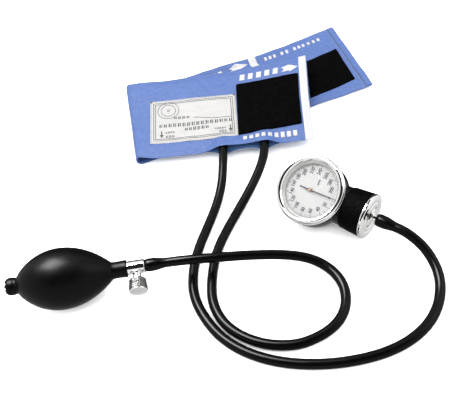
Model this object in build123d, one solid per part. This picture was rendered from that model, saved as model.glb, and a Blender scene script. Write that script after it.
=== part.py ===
"""Aneroid sphygmomanometer: folded arm cuff, two hoses, squeeze bulb with release valve, and dial gauge.

Millimetres, +Z up. Everything lies on a table at z = 0, with the origin under the middle of the set.
"""

import math
import os

from build123d import *

os.makedirs("parts", exist_ok=True)

# Cuff: one strip folded once, its front section over its tail
cuff_width = 112.0
front_length = 171.0
tail_length = 233.0
fold_middle = (-60.3, 57.0)
front_heading = -8.5
tail_heading = 11.5
front_rise = 2.7
front_underside = 6.0
sheet_thickness = 0.9
lining_thickness = 0.8
pocket_height = 3.3
tail_thickness = 1.6
hem_width = 7.0
soft_gap = 0.3
bladder_wall = 1.0
bladder_margin = 3.0
bladder_corner = 8.0
bladder_end_space = 18.0
neck_depth = 16.0
neck_clearance = 0.1
tunnel_wall = 0.9
gauge_neck_along = 87.5
bulb_neck_along = 125.8
label_size = (87.0, 57.0)
label_middle = (55.0, -8.5)
label_thickness = 0.4
loop_pad_size = (60.5, 71.0)
loop_pad_middle = (132.0, -1.5)
pad_thickness = 2.0
index_width = 7.5
index_thickness = 0.4
hook_pad_size = (58.0, 55.0)
hook_pad_middle = (191.0, -15.5)
hook_thickness = 1.5
range_bar_size = (8.0, 24.0)
range_bar_along = 137.0
range_bar_inset = 14.0

# Hoses
hose_radius = 4.0
hose_bore = 2.0

# Bulb, lying on its side
bulb_radius = 24.9
bulb_wall = 2.4
bulb_inlet_side = 35.0
bulb_outlet_side = 41.0
inlet_side_taper = 1.6
outlet_side_taper = 1.9
inlet_neck_radius = 6.8
inlet_neck_length = 9.0
collar_radius = 7.2
collar_length = 12.0
bulb_place = (-132.0, -134.3)
bulb_seat = 0.1
bulb_heading = -1.5
bulb_droop = 3.0

# Ball check valves
ball_radius = 1.6
ball_lift = 1.0
ball_gap = 0.05
seat_bore = 1.1
chamber_radius = 1.95
cage_length = 1.4
cage_bore = 1.2
inlet_body_radius = 4.6
inlet_flange_radius = 5.6
inlet_flange_length = 1.2
inlet_seat_depth = 3.0
driver_slot_width = 1.2
driver_slot_depth = 0.7

# Release valve
valve_radius = 4.9
valve_length = 14.5
spigot_radius = 4.6
spigot_depth = 12.0
barb_radius = 2.3
barb_length = 11.0
barb_count = 3
air_bore = 1.2
valve_port_along = 7.6
neck_radius = 2.9
neck_length = 9.2
neck_bore = 1.9
gland_radius = 3.5
gland_length = 2.2
gland_thread = 3.0
needle_radius = 1.4
needle_tip = 0.5
needle_tip_length = 1.9
seal_radius = 1.85
seal_length = 1.0
running_gap = 0.05
knob_radius = 7.05
knob_length = 9.5
knob_start = 12.6
knob_groove_width = 1.1
knob_groove_depth = 0.8
knob_edge = 0.6
knob_droop = 10.0

# Gauge head, measured behind the front of its bezel along the pointer's axis
gauge_place = (77.7, -105.8, 36.95)
barrel_heading = -44.5
barrel_droop = 1.0
gauge_roll = 33.0
bezel_radius = 28.4
bezel_depth = 7.2
bezel_window = 24.0
bezel_wall = 1.1
lens_thickness = 1.2
lens_depth = 1.4
dial_radius = 25.4
dial_thickness = 0.5
dial_depth = 6.6
dial_ledge = (1.6, 1.4)
chapter_ring_inner = 23.2
bowl_radius = 27.2
bowl_front = 5.0
bowl_back = 29.0
bowl_round = 6.0
case_wall = 1.2
barrel_depth = 20.5
barrel_radius = 16.6
barrel_start = 13.0
sleeve_near_wall = 1.0
sleeve_far_wall = 2.1
sleeve_start = 29.2
cap_start = 44.4
cap_radius = 18.9
cap_thickness = 3.2
cap_edge = 0.7
cap_spigot = 3.0
cap_boss_radius = 11.0
cap_boss_height = 0.9
cap_hole_radius = 0.9
cap_hole_circle = 8.3
cap_hole_depth = 1.4
cap_slot_count = 12
cap_slot_size = (1.5, 0.7, 1.4)
nipple_flange_radius = 5.0
nipple_flange_length = 2.4
nipple_radius = 3.1
nipple_length = 7.0
stem_thread_radius = 3.0

# Movement of the gauge
gear_module = 0.5
tooth_height = 0.65
tooth_root_half = 0.72
tooth_tip_half = 0.3
pinion_teeth = 8
sector_circle_teeth = 48
sector_tooth_count = 10
sector_window_place = 6.6
sector_window_radius = 2.4
scale_sweep = 337.5
lever_arm = 2.5
lever_pin_radius = 0.5
arbor_radius = 0.6
rocker_radius = 0.8
plate_thickness = 1.0
front_plate_depth = 9.4
rear_plate_depth = 19.2
plate_size = (30.0, 24.0)
plate_middle = (5.5, 0.0)
post_radius = 1.5
post_places = ((-7.0, 8.5), (-7.0, -8.5), (12.2, -10.0))
plate_screw_radius = 1.5
plate_screw_height = 0.9
plate_screw_slot = (0.4, 0.3)
gear_thickness = 0.9
sector_depth = 14.5
spring_depth = 11.8
spring_inner = 1.5
spring_step = 1.1
spring_half_turns = 7
spring_strip = (0.25, 0.7)
pointer_depth = 4.6
pointer_thickness = 0.3
pointer_outline = ((-10.5, 0.55), (0, 0.45), (16.4, 0.3), (16.8, 0.8), (18.1, 0.3), (21.0, 0.1))
pointer_hub_radius = 1.5
pointer_hub_length = 1.2
rod_radius = 0.7
rod_gap = 0.1
capsule_radius = 12.5
capsule_fold = 1.8
capsule_folds = 3
capsule_wall = 0.4
capsule_end = 41.0
capsule_stud = 2.4


def block(size_x, size_y, low, high):
    """A box centred on the Z axis, from one height to another."""
    return Pos(0, 0, low) * Box(size_x, size_y, high - low, align=(Align.CENTER, Align.CENTER, Align.MIN))


def disc(radius, low, high):
    """A round bar on the Z axis, from one height to another."""
    return Pos(0, 0, low) * Cylinder(radius, high - low, align=(Align.CENTER, Align.CENTER, Align.MIN))


def rod(radius, start, stop):
    """A round bar on the X axis, from one place to another."""
    return Rot(0, 90, 0) * disc(radius, start, stop)


def turned(*corners):
    """The solid that an outline of (along, radius) corners sweeps about the X axis."""
    return revolve(make_face(Polyline(*corners, close=True)), axis=Axis.X)


def spun(*corners):
    """The solid that an outline of (radius, height) corners sweeps about the Z axis."""
    outline = [(radius, 0, height) for radius, height in corners]
    return revolve(make_face(Polyline(*outline, close=True)), axis=Axis.Z)


def heading(degrees, pitch=0.0):
    """The unit direction at a compass angle from +X and an angle above the table."""
    flat = math.cos(math.radians(pitch))
    turn = math.radians(degrees)
    return Vector(flat * math.cos(turn), flat * math.sin(turn), math.sin(math.radians(pitch)))


# Cuff
fold_heading = (front_heading + tail_heading) / 2 + 90
fold_skew = math.tan(math.radians((tail_heading - front_heading) / 2))
front_height = lining_thickness + pocket_height + sheet_thickness
front_plane = Plane(
    origin=(*fold_middle, front_underside),
    x_dir=heading(front_heading, front_rise),
    z_dir=heading(front_heading, front_rise).cross(heading(front_heading + 90)),
)
tail_plane = Plane(origin=(*fold_middle, 0), x_dir=heading(tail_heading), z_dir=(0, 0, 1))
half_width = cuff_width / 2
neck_height = lining_thickness + neck_clearance / 2 + hose_radius


def front_panel(low, high, inset=0.0, fold_inset=None):
    """A layer of the front section between two heights, drawn in from its edges."""
    side = half_width - inset
    start = soft_gap + (inset if fold_inset is None else fold_inset)
    corners = [(start - side * fold_skew, side), (front_length - inset, side)]
    corners += [(front_length - inset, -side), (start + side * fold_skew, -side)]
    return Pos(0, 0, low) * extrude(make_face(Polyline(*corners, close=True)), high - low)


def tunnel(along, radius, depth):
    """A round bar where a hose neck leaves the lower edge of the pocket."""
    bar = Cylinder(radius, depth, rotation=(90, 0, 0), align=(Align.CENTER, Align.CENTER, Align.MAX))
    return Pos(along, -half_width, neck_height) * bar


def make_cuff():
    """The layers of the front section, the fold and the tail."""
    pocket_top = lining_thickness + pocket_height
    neck_places = (gauge_neck_along, bulb_neck_along)
    lining = front_panel(0, lining_thickness)
    cover = front_panel(lining_thickness, front_height)
    for along in neck_places:
        cover += tunnel(along, hose_radius + neck_clearance + tunnel_wall, neck_depth)
    cover -= front_panel(lining_thickness, pocket_top, hem_width)
    for along in neck_places:
        cover -= tunnel(along, hose_radius + neck_clearance, neck_depth)
    cover -= Pos(0, 0, -hose_radius) * front_panel(0, lining_thickness + hose_radius)

    inset = hem_width + bladder_margin
    low = lining_thickness + soft_gap / 2
    high = pocket_top - soft_gap / 2
    bladder = front_panel(low, high, inset, inset + bladder_end_space)
    bladder = fillet(bladder.edges().filter_by(Axis.Z), bladder_corner)
    air_low = low + bladder_wall
    air_inset = inset + bladder_wall
    bladder -= front_panel(air_low, high - bladder_wall, air_inset, air_inset + bladder_end_space)
    for along in neck_places:
        neck = tunnel(along, hose_radius, neck_depth)
        bladder += neck
    for along in neck_places:
        bladder -= tunnel(along, hose_bore, neck_depth - bladder_wall)
        drop = Pos(along, -half_width + inset + bladder_wall + 2 * hose_bore, air_low)
        bladder -= drop * disc(bladder_wall, 0, neck_height - air_low)

    fold_radius = (front_underside + front_height) / 2
    fold_length = cuff_width / math.cos(math.radians((tail_heading - front_heading) / 2))
    fold_plane = Plane(
        origin=(*fold_middle, fold_radius),
        x_dir=heading(fold_heading - 90),
        z_dir=heading(fold_heading),
    )
    bend = disc(fold_radius, -fold_length / 2, fold_length / 2)
    bend -= disc(fold_radius - tail_thickness, -fold_length / 2, fold_length / 2)
    bend -= Pos(fold_radius, 0, 0) * block(2 * fold_radius, 4 * fold_radius, -fold_length, fold_length)

    outline = [(half_width * fold_skew, half_width), (tail_length, half_width)]
    outline += [(tail_length, -half_width), (-half_width * fold_skew, -half_width)]
    tail = extrude(make_face(Polyline(*outline, close=True)), tail_thickness)

    label = Pos(*label_middle, front_height) * block(*label_size, 0, label_thickness)
    loop_pad = Pos(*loop_pad_middle, front_height) * block(*loop_pad_size, 0, pad_thickness)
    for along in neck_places:
        loop_pad -= tunnel(along, hose_radius + 2 * tunnel_wall, neck_depth)
    index = block(index_width, cuff_width, front_height, front_height + index_thickness)
    index = Pos(front_length - index_width / 2, 0, 0) * index
    hook_pad = Pos(*hook_pad_middle, tail_thickness) * block(*hook_pad_size, 0, hook_thickness)
    range_bar = block(*range_bar_size, tail_thickness, tail_thickness + index_thickness)
    range_bar = Pos(range_bar_along, half_width - range_bar_inset, 0) * range_bar
    front = front_plane.location
    under = tail_plane.location
    return {
        "cuff_cover": front * cover,
        "cuff_lining": front * lining,
        "cuff_bladder": front * bladder,
        "name_label": front * label,
        "loop_pad": front * loop_pad,
        "index_bar": front * index,
        "cuff_fold": fold_plane.location * bend,
        "cuff_tail": under * tail,
        "hook_pad": under * hook_pad,
        "range_bar": under * range_bar,
    }


# Bulb and release valve, along the bulb's own axis from its widest place
bulb_direction = heading(bulb_heading, -bulb_droop)
bulb_side = heading(bulb_heading + 90)
bulb_plane = Plane(
    origin=(*bulb_place, bulb_radius + bulb_seat),
    x_dir=bulb_direction,
    z_dir=bulb_direction.cross(bulb_side),
)
valve_start = bulb_outlet_side + collar_length
valve_end = valve_start + valve_length
port_place = valve_start + valve_port_along
port_frame = Pos(port_place, 0, 0) * Rot(90 + knob_droop, 0, 0)
inlet_end = -bulb_inlet_side - inlet_neck_length


def bulb_form(inset):
    """The egg-shaped body of the bulb, drawn in by a wall."""
    points = []
    for degrees in range(180, -1, -15):
        turn = math.radians(degrees)
        reach = bulb_inlet_side if degrees > 90 else bulb_outlet_side
        neck = inlet_neck_radius if degrees > 90 else collar_radius
        taper = inlet_side_taper if degrees > 90 else outlet_side_taper
        radius = neck + (bulb_radius - neck) * math.sin(turn) ** taper
        points.append(((reach - inset) * math.cos(turn), radius - inset))
    crown = Spline(*points)
    start = points[0]
    stop = points[-1]
    outline = crown + Polyline(stop, (stop[0], 0), (start[0], 0), start)
    return revolve(make_face(outline), axis=Axis.X)


def make_bulb():
    """The rubber bulb with its two necks."""
    body = bulb_form(0)
    body += rod(inlet_neck_radius, inlet_end, -bulb_inlet_side + bulb_wall)
    body += rod(collar_radius, bulb_outlet_side - bulb_wall, valve_start)
    body -= bulb_form(bulb_wall)
    body -= rod(inlet_body_radius, inlet_end, 0)
    body -= rod(spigot_radius, 0, valve_start)
    return {"squeeze_bulb": body}


def ball_cage(start):
    """A slotted ring that keeps a check ball in its chamber."""
    cage = rod(chamber_radius, start, start + cage_length) - rod(cage_bore, start, start + cage_length)
    return cage - Pos(start, 0, 0) * Box(cage_length, 2 * chamber_radius, cage_bore)


def make_inlet_valve():
    """The air inlet in the free end of the bulb, with its ball."""
    flange_face = inlet_end - inlet_flange_length
    seat = inlet_end + inlet_seat_depth
    ball_seat = math.sqrt(ball_radius**2 - seat_bore**2) + ball_gap
    ball_at = seat + ball_seat
    cage_at = ball_at + ball_radius + ball_lift + ball_gap
    body = rod(inlet_body_radius, inlet_end, cage_at + cage_length)
    body += rod(inlet_flange_radius, flange_face, inlet_end)
    body -= rod(seat_bore, flange_face, cage_at)
    body -= rod(chamber_radius, seat, cage_at + cage_length)
    slot = Box(driver_slot_depth, 2 * inlet_flange_radius, driver_slot_width)
    body -= Pos(flange_face + driver_slot_depth / 2, 0, 0) * slot
    ball = Pos(ball_at, 0, 0) * Sphere(ball_radius)
    return {"inlet_valve_body": body, "inlet_ball": ball, "inlet_cage": ball_cage(cage_at)}


def barbed_tube(start):
    """A hose tail with rings that grip the hose, before its bore is cut."""
    step = barb_length / barb_count
    corners = [(start, 0), (start, hose_bore)]
    for count in range(barb_count):
        here = start + count * step
        corners += [(here + step / 3, barb_radius), (here + step, hose_bore)]
    corners += [(start + barb_length, 0)]
    return turned(*corners)


def make_release_valve():
    """The metal valve between bulb and hose, its check ball, needle, gland and knob."""
    seat = valve_start - spigot_depth + cage_length
    ball_at = seat + math.sqrt(ball_radius**2 - seat_bore**2) + ball_gap
    cage_at = ball_at + ball_radius + ball_lift + ball_gap
    body = turned(
        (valve_start - spigot_depth, 0),
        (valve_start - spigot_depth, spigot_radius),
        (valve_start, spigot_radius),
        (valve_start, valve_radius + knob_edge),
        (valve_start + 2 * knob_edge, valve_radius + knob_edge),
        (valve_start + 3 * knob_edge, valve_radius),
        (valve_end - knob_edge, valve_radius),
        (valve_end, valve_radius - knob_edge),
        (valve_end, 0),
    )
    body += port_frame * disc(neck_radius, 0, neck_length)
    body += barbed_tube(valve_end)
    body -= rod(seat_bore, valve_start - spigot_depth, seat)
    body -= rod(chamber_radius, seat, cage_at + cage_length)
    body -= rod(air_bore, cage_at, valve_end + barb_length)
    body -= port_frame * disc(neck_bore, needle_tip_length, neck_length)
    body -= port_frame * disc(needle_tip + 2 * running_gap, 0, needle_tip_length)
    vent = port_frame * Pos(0, 0, valve_radius + air_bore) * Rot(0, 90, 0)
    body -= vent * disc(air_bore / 2, 0, 2 * neck_radius)
    ball = Pos(ball_at, 0, 0) * Sphere(ball_radius)

    gland_low = neck_length - gland_thread
    seal_low = gland_low - seal_length
    bore = needle_radius + running_gap
    gland_top = neck_length + gland_length
    gland = disc(neck_bore, gland_low, neck_length) + disc(gland_radius, neck_length, gland_top)
    gland -= disc(bore, gland_low, gland_top)
    seal = disc(seal_radius, seal_low, gland_low) - disc(bore, seal_low, gland_low)
    needle_end = knob_start + knob_length - knob_groove_width
    needle = spun(
        (0, needle_tip_length / 2),
        (needle_tip, needle_tip_length),
        (needle_radius, needle_tip_length + needle_radius),
        (needle_radius, needle_end),
        (0, needle_end),
    )
    knob_end = knob_start + knob_length
    waist = (knob_start + knob_end) / 2
    knob = spun(
        (bore, knob_start),
        (knob_radius - knob_edge, knob_start),
        (knob_radius, knob_start + knob_edge),
        (knob_radius, waist - knob_groove_width / 2),
        (knob_radius - knob_groove_depth, waist - knob_groove_width / 2),
        (knob_radius - knob_groove_depth, waist + knob_groove_width / 2),
        (knob_radius, waist + knob_groove_width / 2),
        (knob_radius, knob_end - knob_edge),
        (knob_radius - knob_edge, knob_end),
        (0, knob_end),
        (0, needle_end + running_gap),
        (bore, needle_end + running_gap),
    )
    return {
        "valve_body": body,
        "outlet_ball": ball,
        "outlet_cage": ball_cage(cage_at),
        "valve_gland": port_frame * gland,
        "gland_seal": port_frame * seal,
        "valve_needle": port_frame * needle,
        "release_knob": port_frame * knob,
    }


# Gauge: +X runs from the pointer's axis out through the barrel, and +Z out of the dial
barrel_direction = heading(barrel_heading, -barrel_droop)
barrel_side = heading(barrel_heading + 90)
barrel_up = barrel_direction.cross(barrel_side)
roll = math.radians(gauge_roll)
dial_normal = barrel_up * math.cos(roll) - barrel_side * math.sin(roll)
gauge_plane = Plane(origin=gauge_place, x_dir=barrel_direction, z_dir=dial_normal)
barrel_frame = Pos(0, 0, -barrel_depth)
cap_end = cap_start + cap_thickness
nipple_end = cap_end + nipple_length
sector_radius = gear_module * sector_circle_teeth / 2
pinion_radius = gear_module * pinion_teeth / 2
gear_distance = sector_radius + pinion_radius
rocker_sweep = scale_sweep * pinion_teeth / sector_circle_teeth
rocker_place = (math.sqrt(gear_distance**2 - lever_arm**2), -lever_arm)
mesh_heading = math.degrees(math.atan2(lever_arm, -rocker_place[0]))
lever_heading = 90 - rocker_sweep / 2
lever_pin_place = (
    rocker_place[0] + lever_arm * math.cos(math.radians(lever_heading)),
    rocker_place[1] + lever_arm * math.sin(math.radians(lever_heading)),
)


def make_case():
    """The bowl behind the dial with the barrel that holds the capsule, and the barrel's cover."""
    inner_radius = bowl_radius - case_wall
    bowl = disc(bowl_radius, -bowl_back, -bowl_front)
    bowl = fillet(bowl.edges().sort_by(Axis.Z)[0], bowl_round)
    hollow = disc(inner_radius, -bowl_back + case_wall, -bowl_front)
    hollow = fillet(hollow.edges().sort_by(Axis.Z)[0], bowl_round - case_wall)
    barrel = barrel_frame * rod(barrel_radius, barrel_start, cap_start)
    bezel_clear = disc(bezel_radius + soft_gap, -bezel_depth - soft_gap, 0)
    inside = barrel_frame * rod(barrel_radius - case_wall, barrel_start + case_wall, cap_start)
    inside -= disc(bezel_radius + soft_gap + case_wall, -bezel_depth - soft_gap - case_wall, 0)
    case = bowl + (barrel - bezel_clear) - hollow - inside
    ledge_top = -dial_depth - dial_thickness
    case += disc(inner_radius, ledge_top - dial_ledge[1], ledge_top)
    case -= disc(inner_radius - dial_ledge[0], ledge_top - dial_ledge[1], ledge_top)
    sleeve = turned(
        (sleeve_start, barrel_radius),
        (sleeve_start, barrel_radius + sleeve_near_wall),
        (cap_start, barrel_radius + sleeve_far_wall),
        (cap_start, barrel_radius),
    )
    return {"gauge_case": case, "barrel_sleeve": barrel_frame * sleeve}


def make_front():
    """The bezel, lens, chapter ring and dial."""
    glass_top = -lens_depth
    glass_low = glass_top - lens_thickness
    bezel = spun(
        (bowl_radius + ball_gap, -bezel_depth),
        (bezel_radius, -bezel_depth),
        (bezel_radius, -bezel_depth / 2),
        (bezel_radius - bezel_wall / 2, -bezel_depth / 4),
        (bezel_radius - 2 * bezel_wall, 0),
        (bezel_window + bezel_wall, -bezel_wall / 3),
        (bezel_window, glass_top),
        (dial_radius + bezel_wall / 3, glass_top),
        (dial_radius + bezel_wall / 3, -bowl_front),
        (bowl_radius + ball_gap, -bowl_front),
    )
    lens = disc(dial_radius, glass_low, glass_top)
    ring_low = -dial_depth
    ring = spun(
        (chapter_ring_inner, ring_low),
        (dial_radius, ring_low),
        (dial_radius, glass_low),
        (dial_radius - bezel_wall, glass_low),
    )
    dial = disc(dial_radius, ring_low - dial_thickness, ring_low)
    dial -= disc(arbor_radius + rod_gap, ring_low - dial_thickness, ring_low)
    return {"bezel": bezel, "lens": lens, "chapter_ring": ring, "dial": dial}


def make_cap():
    """The end cap of the barrel and the nipple through it."""
    inner = barrel_radius - case_wall - ball_gap
    face = cap_end + cap_boss_height
    cap = rod(cap_radius, cap_start, cap_end)
    cap = chamfer(cap.edges().filter_by(GeomType.CIRCLE), cap_edge)
    cap += rod(inner, cap_start - cap_spigot, cap_start)
    cap += rod(cap_boss_radius, cap_end, face)
    cap -= rod(inner - case_wall, cap_start - cap_spigot, cap_start)
    cap -= rod(stem_thread_radius, cap_start, face)
    for side in (-1, 1):
        hole = Pos(0, side * cap_hole_circle, 0)
        cap -= hole * rod(cap_hole_radius, face - cap_hole_depth, face)
    slot_length, slot_depth, slot_width = cap_slot_size
    for count in range(cap_slot_count):
        slot = Pos(cap_start + cap_thickness / 2, 0, cap_radius) * Box(slot_length, slot_width, 2 * slot_depth)
        cap -= Rot(360 * count / cap_slot_count, 0, 0) * slot
    nipple = rod(stem_thread_radius, cap_start - cap_spigot, face)
    nipple += rod(nipple_flange_radius, face, face + nipple_flange_length)
    nipple += rod(nipple_radius, face + nipple_flange_length, nipple_end)
    nipple += barbed_tube(nipple_end)
    nipple -= rod(air_bore, cap_start - cap_spigot, nipple_end + barb_length)
    return {"barrel_cap": barrel_frame * cap, "hose_nipple": barrel_frame * nipple}


def make_capsule():
    """The pressure capsule in the barrel: folded discs on a stud, with the push rod on its free face."""
    face = capsule_end - 2 * capsule_folds * capsule_fold
    outer = [(face, capsule_radius - capsule_fold)]
    for count in range(capsule_folds):
        start = face + 2 * count * capsule_fold
        outer += [(start + capsule_fold / 2, capsule_radius)]
        outer += [(start + 3 * capsule_fold / 2, capsule_radius)]
        outer += [(start + 2 * capsule_fold, capsule_radius - capsule_fold)]
    capsule = turned((face, 0), *outer, (capsule_end, 0))
    hollow = capsule_radius - capsule_fold - capsule_wall
    capsule -= rod(hollow, face + capsule_wall, capsule_end - capsule_wall)
    capsule += rod(stem_thread_radius, capsule_end - capsule_wall, cap_start - cap_spigot)
    capsule -= rod(air_bore, capsule_end - capsule_wall, cap_start - cap_spigot)
    tip = lever_pin_place[0] + lever_pin_radius + rod_gap
    push_rod = rod(rod_radius, tip, face)
    push_rod += rod(capsule_stud, face - capsule_stud / 2, face)
    return {"pressure_capsule": barrel_frame * capsule, "push_rod": barrel_frame * push_rod}


def gear_blank(root_radius, depth, tooth_headings):
    """A thin round blank with straight-sided teeth at the given headings."""
    half_root = tooth_root_half * gear_module
    half_tip = tooth_tip_half * gear_module
    gear = disc(root_radius, -depth, -depth + gear_thickness)
    tip = root_radius + gear_module + tooth_height * gear_module
    inside = root_radius - gear_module / 2
    for degrees in tooth_headings:
        outline = [(inside, -half_root), (root_radius, -half_root), (tip, -half_tip)]
        outline += [(tip, half_tip), (root_radius, half_root), (inside, half_root)]
        tooth = extrude(make_face(Polyline(*outline, close=True)), gear_thickness)
        gear += Rot(0, 0, degrees) * Pos(0, 0, -depth) * tooth
    return gear


def make_movement():
    """The plates, posts and screws, and the train from the push rod to the pointer."""
    hole = arbor_radius + running_gap
    pivot = rocker_radius + running_gap
    pillars = [Pos(*place, 0) for place in post_places]
    at_rocker = Pos(*rocker_place, 0)
    plates = {}
    for name, depth in (("front_plate", front_plate_depth), ("rear_plate", rear_plate_depth)):
        low = -depth - plate_thickness
        plate = Pos(*plate_middle, 0) * block(*plate_size, low, -depth)
        plate -= disc(hole, low, -depth)
        plate -= at_rocker * disc(pivot, low, -depth)
        plates[name] = plate
    rear = -rear_plate_depth
    front = -front_plate_depth - plate_thickness
    notch_reach = lever_arm + lever_pin_radius + rod_gap
    notch_end = plate_middle[0] + plate_size[0] / 2
    notch_start = rocker_place[0] - notch_reach
    notch = Pos((notch_start + notch_end) / 2, 0, 0)
    notch_width = 2 * (rod_radius + rod_gap)
    notch *= block(notch_end - notch_start, notch_width, rear - plate_thickness, rear)
    plates["rear_plate"] -= notch
    posts = Part() + [place * disc(post_radius, rear, front) for place in pillars]
    floor = -bowl_back + case_wall
    feet = Part() + [place * disc(post_radius, floor, rear - plate_thickness) for place in pillars]
    screws = []
    for place in pillars:
        head = disc(plate_screw_radius, -front_plate_depth, -front_plate_depth + plate_screw_height)
        slot_top = -front_plate_depth + plate_screw_height
        head -= block(2 * plate_screw_radius, plate_screw_slot[0], slot_top - plate_screw_slot[1], slot_top)
        screws.append(place * head)

    low = -rear_plate_depth - plate_thickness
    root = pinion_radius - gear_module
    teeth = [mesh_heading + 180 + (count + 0.5) * 360 / pinion_teeth for count in range(pinion_teeth)]
    arbor = disc(arbor_radius, low, -pointer_depth + pointer_thickness + pointer_hub_length / 2)
    arbor += gear_blank(root, sector_depth, teeth)
    collet_low = 2 * gear_thickness - sector_depth
    arbor += disc(spring_inner - spring_strip[0], collet_low, -spring_depth + spring_strip[1])

    pitch_turn = 360 / sector_circle_teeth
    first = mesh_heading + pitch_turn
    lowest = first - pitch_turn * (sector_tooth_count - 1)
    sector_teeth = [first - pitch_turn * count for count in range(sector_tooth_count)]
    blank = gear_blank(sector_radius - gear_module, sector_depth, sector_teeth)
    reach = 2 * sector_radius
    wedge = [(0, 0)]
    for degrees in (first + pitch_turn / 2, (first + lowest) / 2, lowest - pitch_turn / 2):
        turn = math.radians(degrees)
        wedge.append((reach * math.cos(turn), reach * math.sin(turn)))
    keep = Pos(0, 0, -sector_depth) * extrude(make_face(Polyline(*wedge, close=True)), gear_thickness)
    sector = (blank & keep) + disc(2 * rocker_radius, -sector_depth, -sector_depth + gear_thickness)
    middle = math.radians((first + lowest) / 2)
    window_place = Pos(sector_window_place * math.cos(middle), sector_window_place * math.sin(middle), 0)
    sector -= window_place * disc(sector_window_radius, -sector_depth, -sector_depth + gear_thickness)
    sector -= disc(rocker_radius, -sector_depth, -sector_depth + gear_thickness)
    arm_low = -barrel_depth - rod_radius - gear_thickness
    rocker = disc(rocker_radius, arm_low - rod_gap, -front_plate_depth)
    arm = Pos(lever_arm / 2, 0, 0) * block(lever_arm, 2 * rocker_radius, arm_low, arm_low + gear_thickness)
    arm += Pos(lever_arm, 0, 0) * disc(lever_pin_radius, arm_low, -barrel_depth + rod_radius / 2)
    rocker += Rot(0, 0, lever_heading) * arm

    strip, height = spring_strip
    offset = spring_step / 2
    coil = Part()
    for count in range(spring_half_turns):
        radius = spring_inner + count * offset
        side = 1 - 2 * (count % 2)
        half = disc(radius + strip / 2, 0, height) - disc(radius - strip / 2, 0, height)
        half &= Pos(0, side * 2 * radius, 0) * block(6 * radius, 4 * radius, 0, height)
        coil += Pos(offset * (count % 2), 0, -spring_depth) * half
    spring_end = spring_inner + (spring_half_turns - 1) * offset
    stud_place = Pos(-spring_end, 0, 0)
    stud = stud_place * disc(2 * strip, -spring_depth, front)
    stud -= coil
    pointer_low = -pointer_depth
    other_side = [(along, -half) for along, half in reversed(pointer_outline)]
    needle = Polyline(*pointer_outline, *other_side, close=True)
    pointer = Pos(0, 0, pointer_low) * extrude(make_face(needle), pointer_thickness)
    hub_low = pointer_low + pointer_thickness
    pointer += disc(pointer_hub_radius, pointer_low, hub_low)
    pointer -= disc(arbor_radius, pointer_low, hub_low)
    hub = disc(pointer_hub_radius, hub_low, hub_low + pointer_hub_length)
    hub = fillet(hub.edges().sort_by(Axis.Z)[-1], pointer_thickness)
    hub -= disc(arbor_radius, hub_low, hub_low + pointer_hub_length / 2)
    return {
        **plates,
        "plate_posts": posts,
        "plate_feet": feet,
        "plate_screws": Part() + screws,
        "pinion_arbor": arbor,
        "sector_gear": at_rocker * sector,
        "rocker_shaft": at_rocker * rocker,
        "hairspring": coil,
        "hairspring_stud": stud,
        "pointer": pointer,
        "pointer_hub": hub,
    }


# Hoses: each route runs from the cuff to its fitting, with points chosen by hand
def neck_point(along, distance):
    """A point straight out of a hose neck of the cuff."""
    return front_plane.from_local_coords(Vector(along, -half_width - distance, neck_height))


def nipple_point(distance):
    """A point straight out of the gauge's nipple."""
    return gauge_plane.from_local_coords(Vector(nipple_end + distance, 0, -barrel_depth))


def valve_point(distance):
    """A point straight out of the release valve."""
    return bulb_plane.from_local_coords(Vector(valve_end + distance, 0, 0))


gauge_hose_route = [
    neck_point(gauge_neck_along, 0),
    neck_point(gauge_neck_along, 11),
    (13.5, -35, 13.0),
    (9.5, -51, 8.5),
    (2, -70, 5.0),
    (-9, -92, 4.0),
    (-21, -115, 4.0),
    (-29, -139, 4.0),
    (-31.5, -163, 4.0),
    (-25, -187.5, 4.0),
    (-12.5, -210.5, 4.0),
    (9, -229.5, 4.0),
    (37, -242, 4.0),
    (69, -248, 4.0),
    (102, -247, 4.0),
    (129, -237, 4.0),
    (148, -219, 4.0),
    (158, -195, 6.0),
    (155, -172, 12.0),
    (144, -156, 18.0),
    nipple_point(13),
    nipple_point(0),
]
bulb_hose_route = [
    neck_point(bulb_neck_along, 0),
    neck_point(bulb_neck_along, 11),
    (49, -41, 14.5),
    (38.5, -57, 9.5),
    (24, -76, 5.5),
    (8, -98, 4.0),
    (-6.5, -122, 4.0),
    (-14.5, -148, 4.0),
    (-18, -174, 4.0),
    (-10, -198.5, 4.0),
    (10.5, -217.5, 4.0),
    (36, -226, 4.0),
    (57.8, -222.5, 4.0),
    (74, -213.5, 4.0),
    (83.5, -199, 4.0),
    (85.8, -181, 4.5),
    (79, -164.5, 6.0),
    (65.5, -153, 9.0),
    (46.5, -147, 12.0),
    (24, -144, 15.5),
    (0, -142.3, 19.0),
    (-29, -139.5, 21.5),
    valve_point(16),
    valve_point(0),
]


def make_hose(name, route):
    """A hose along straight runs joined by tangent arcs, with its bore."""
    points = [Vector(*point) if isinstance(point, tuple) else point for point in route]
    runs = [after - before for before, after in zip(points, points[1:])]
    radii = []
    for before, after in zip(runs, runs[1:]):
        half_turn = math.radians(before.get_angle(after)) / 2
        radii.append(0.45 * min(before.length, after.length) / math.tan(half_turn))
    path = FilletPolyline(*points, radius=radii)
    start = Plane(origin=points[0], z_dir=runs[0])
    ring = start * (Circle(hose_radius) - Circle(hose_bore))
    hose = sweep(ring, path=path)
    expected = math.pi * (hose_radius**2 - hose_bore**2) * path.length
    print(name, "length", round(path.length, 1), "smallest radius", round(min(radii), 1))
    print(name, "radii", [round(radius) for radius in radii])
    print(name, "volume", round(hose.volume), "section times length", round(expected))
    print(name, "route", [tuple(round(value, 1) for value in point) for point in points])
    return hose


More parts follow.
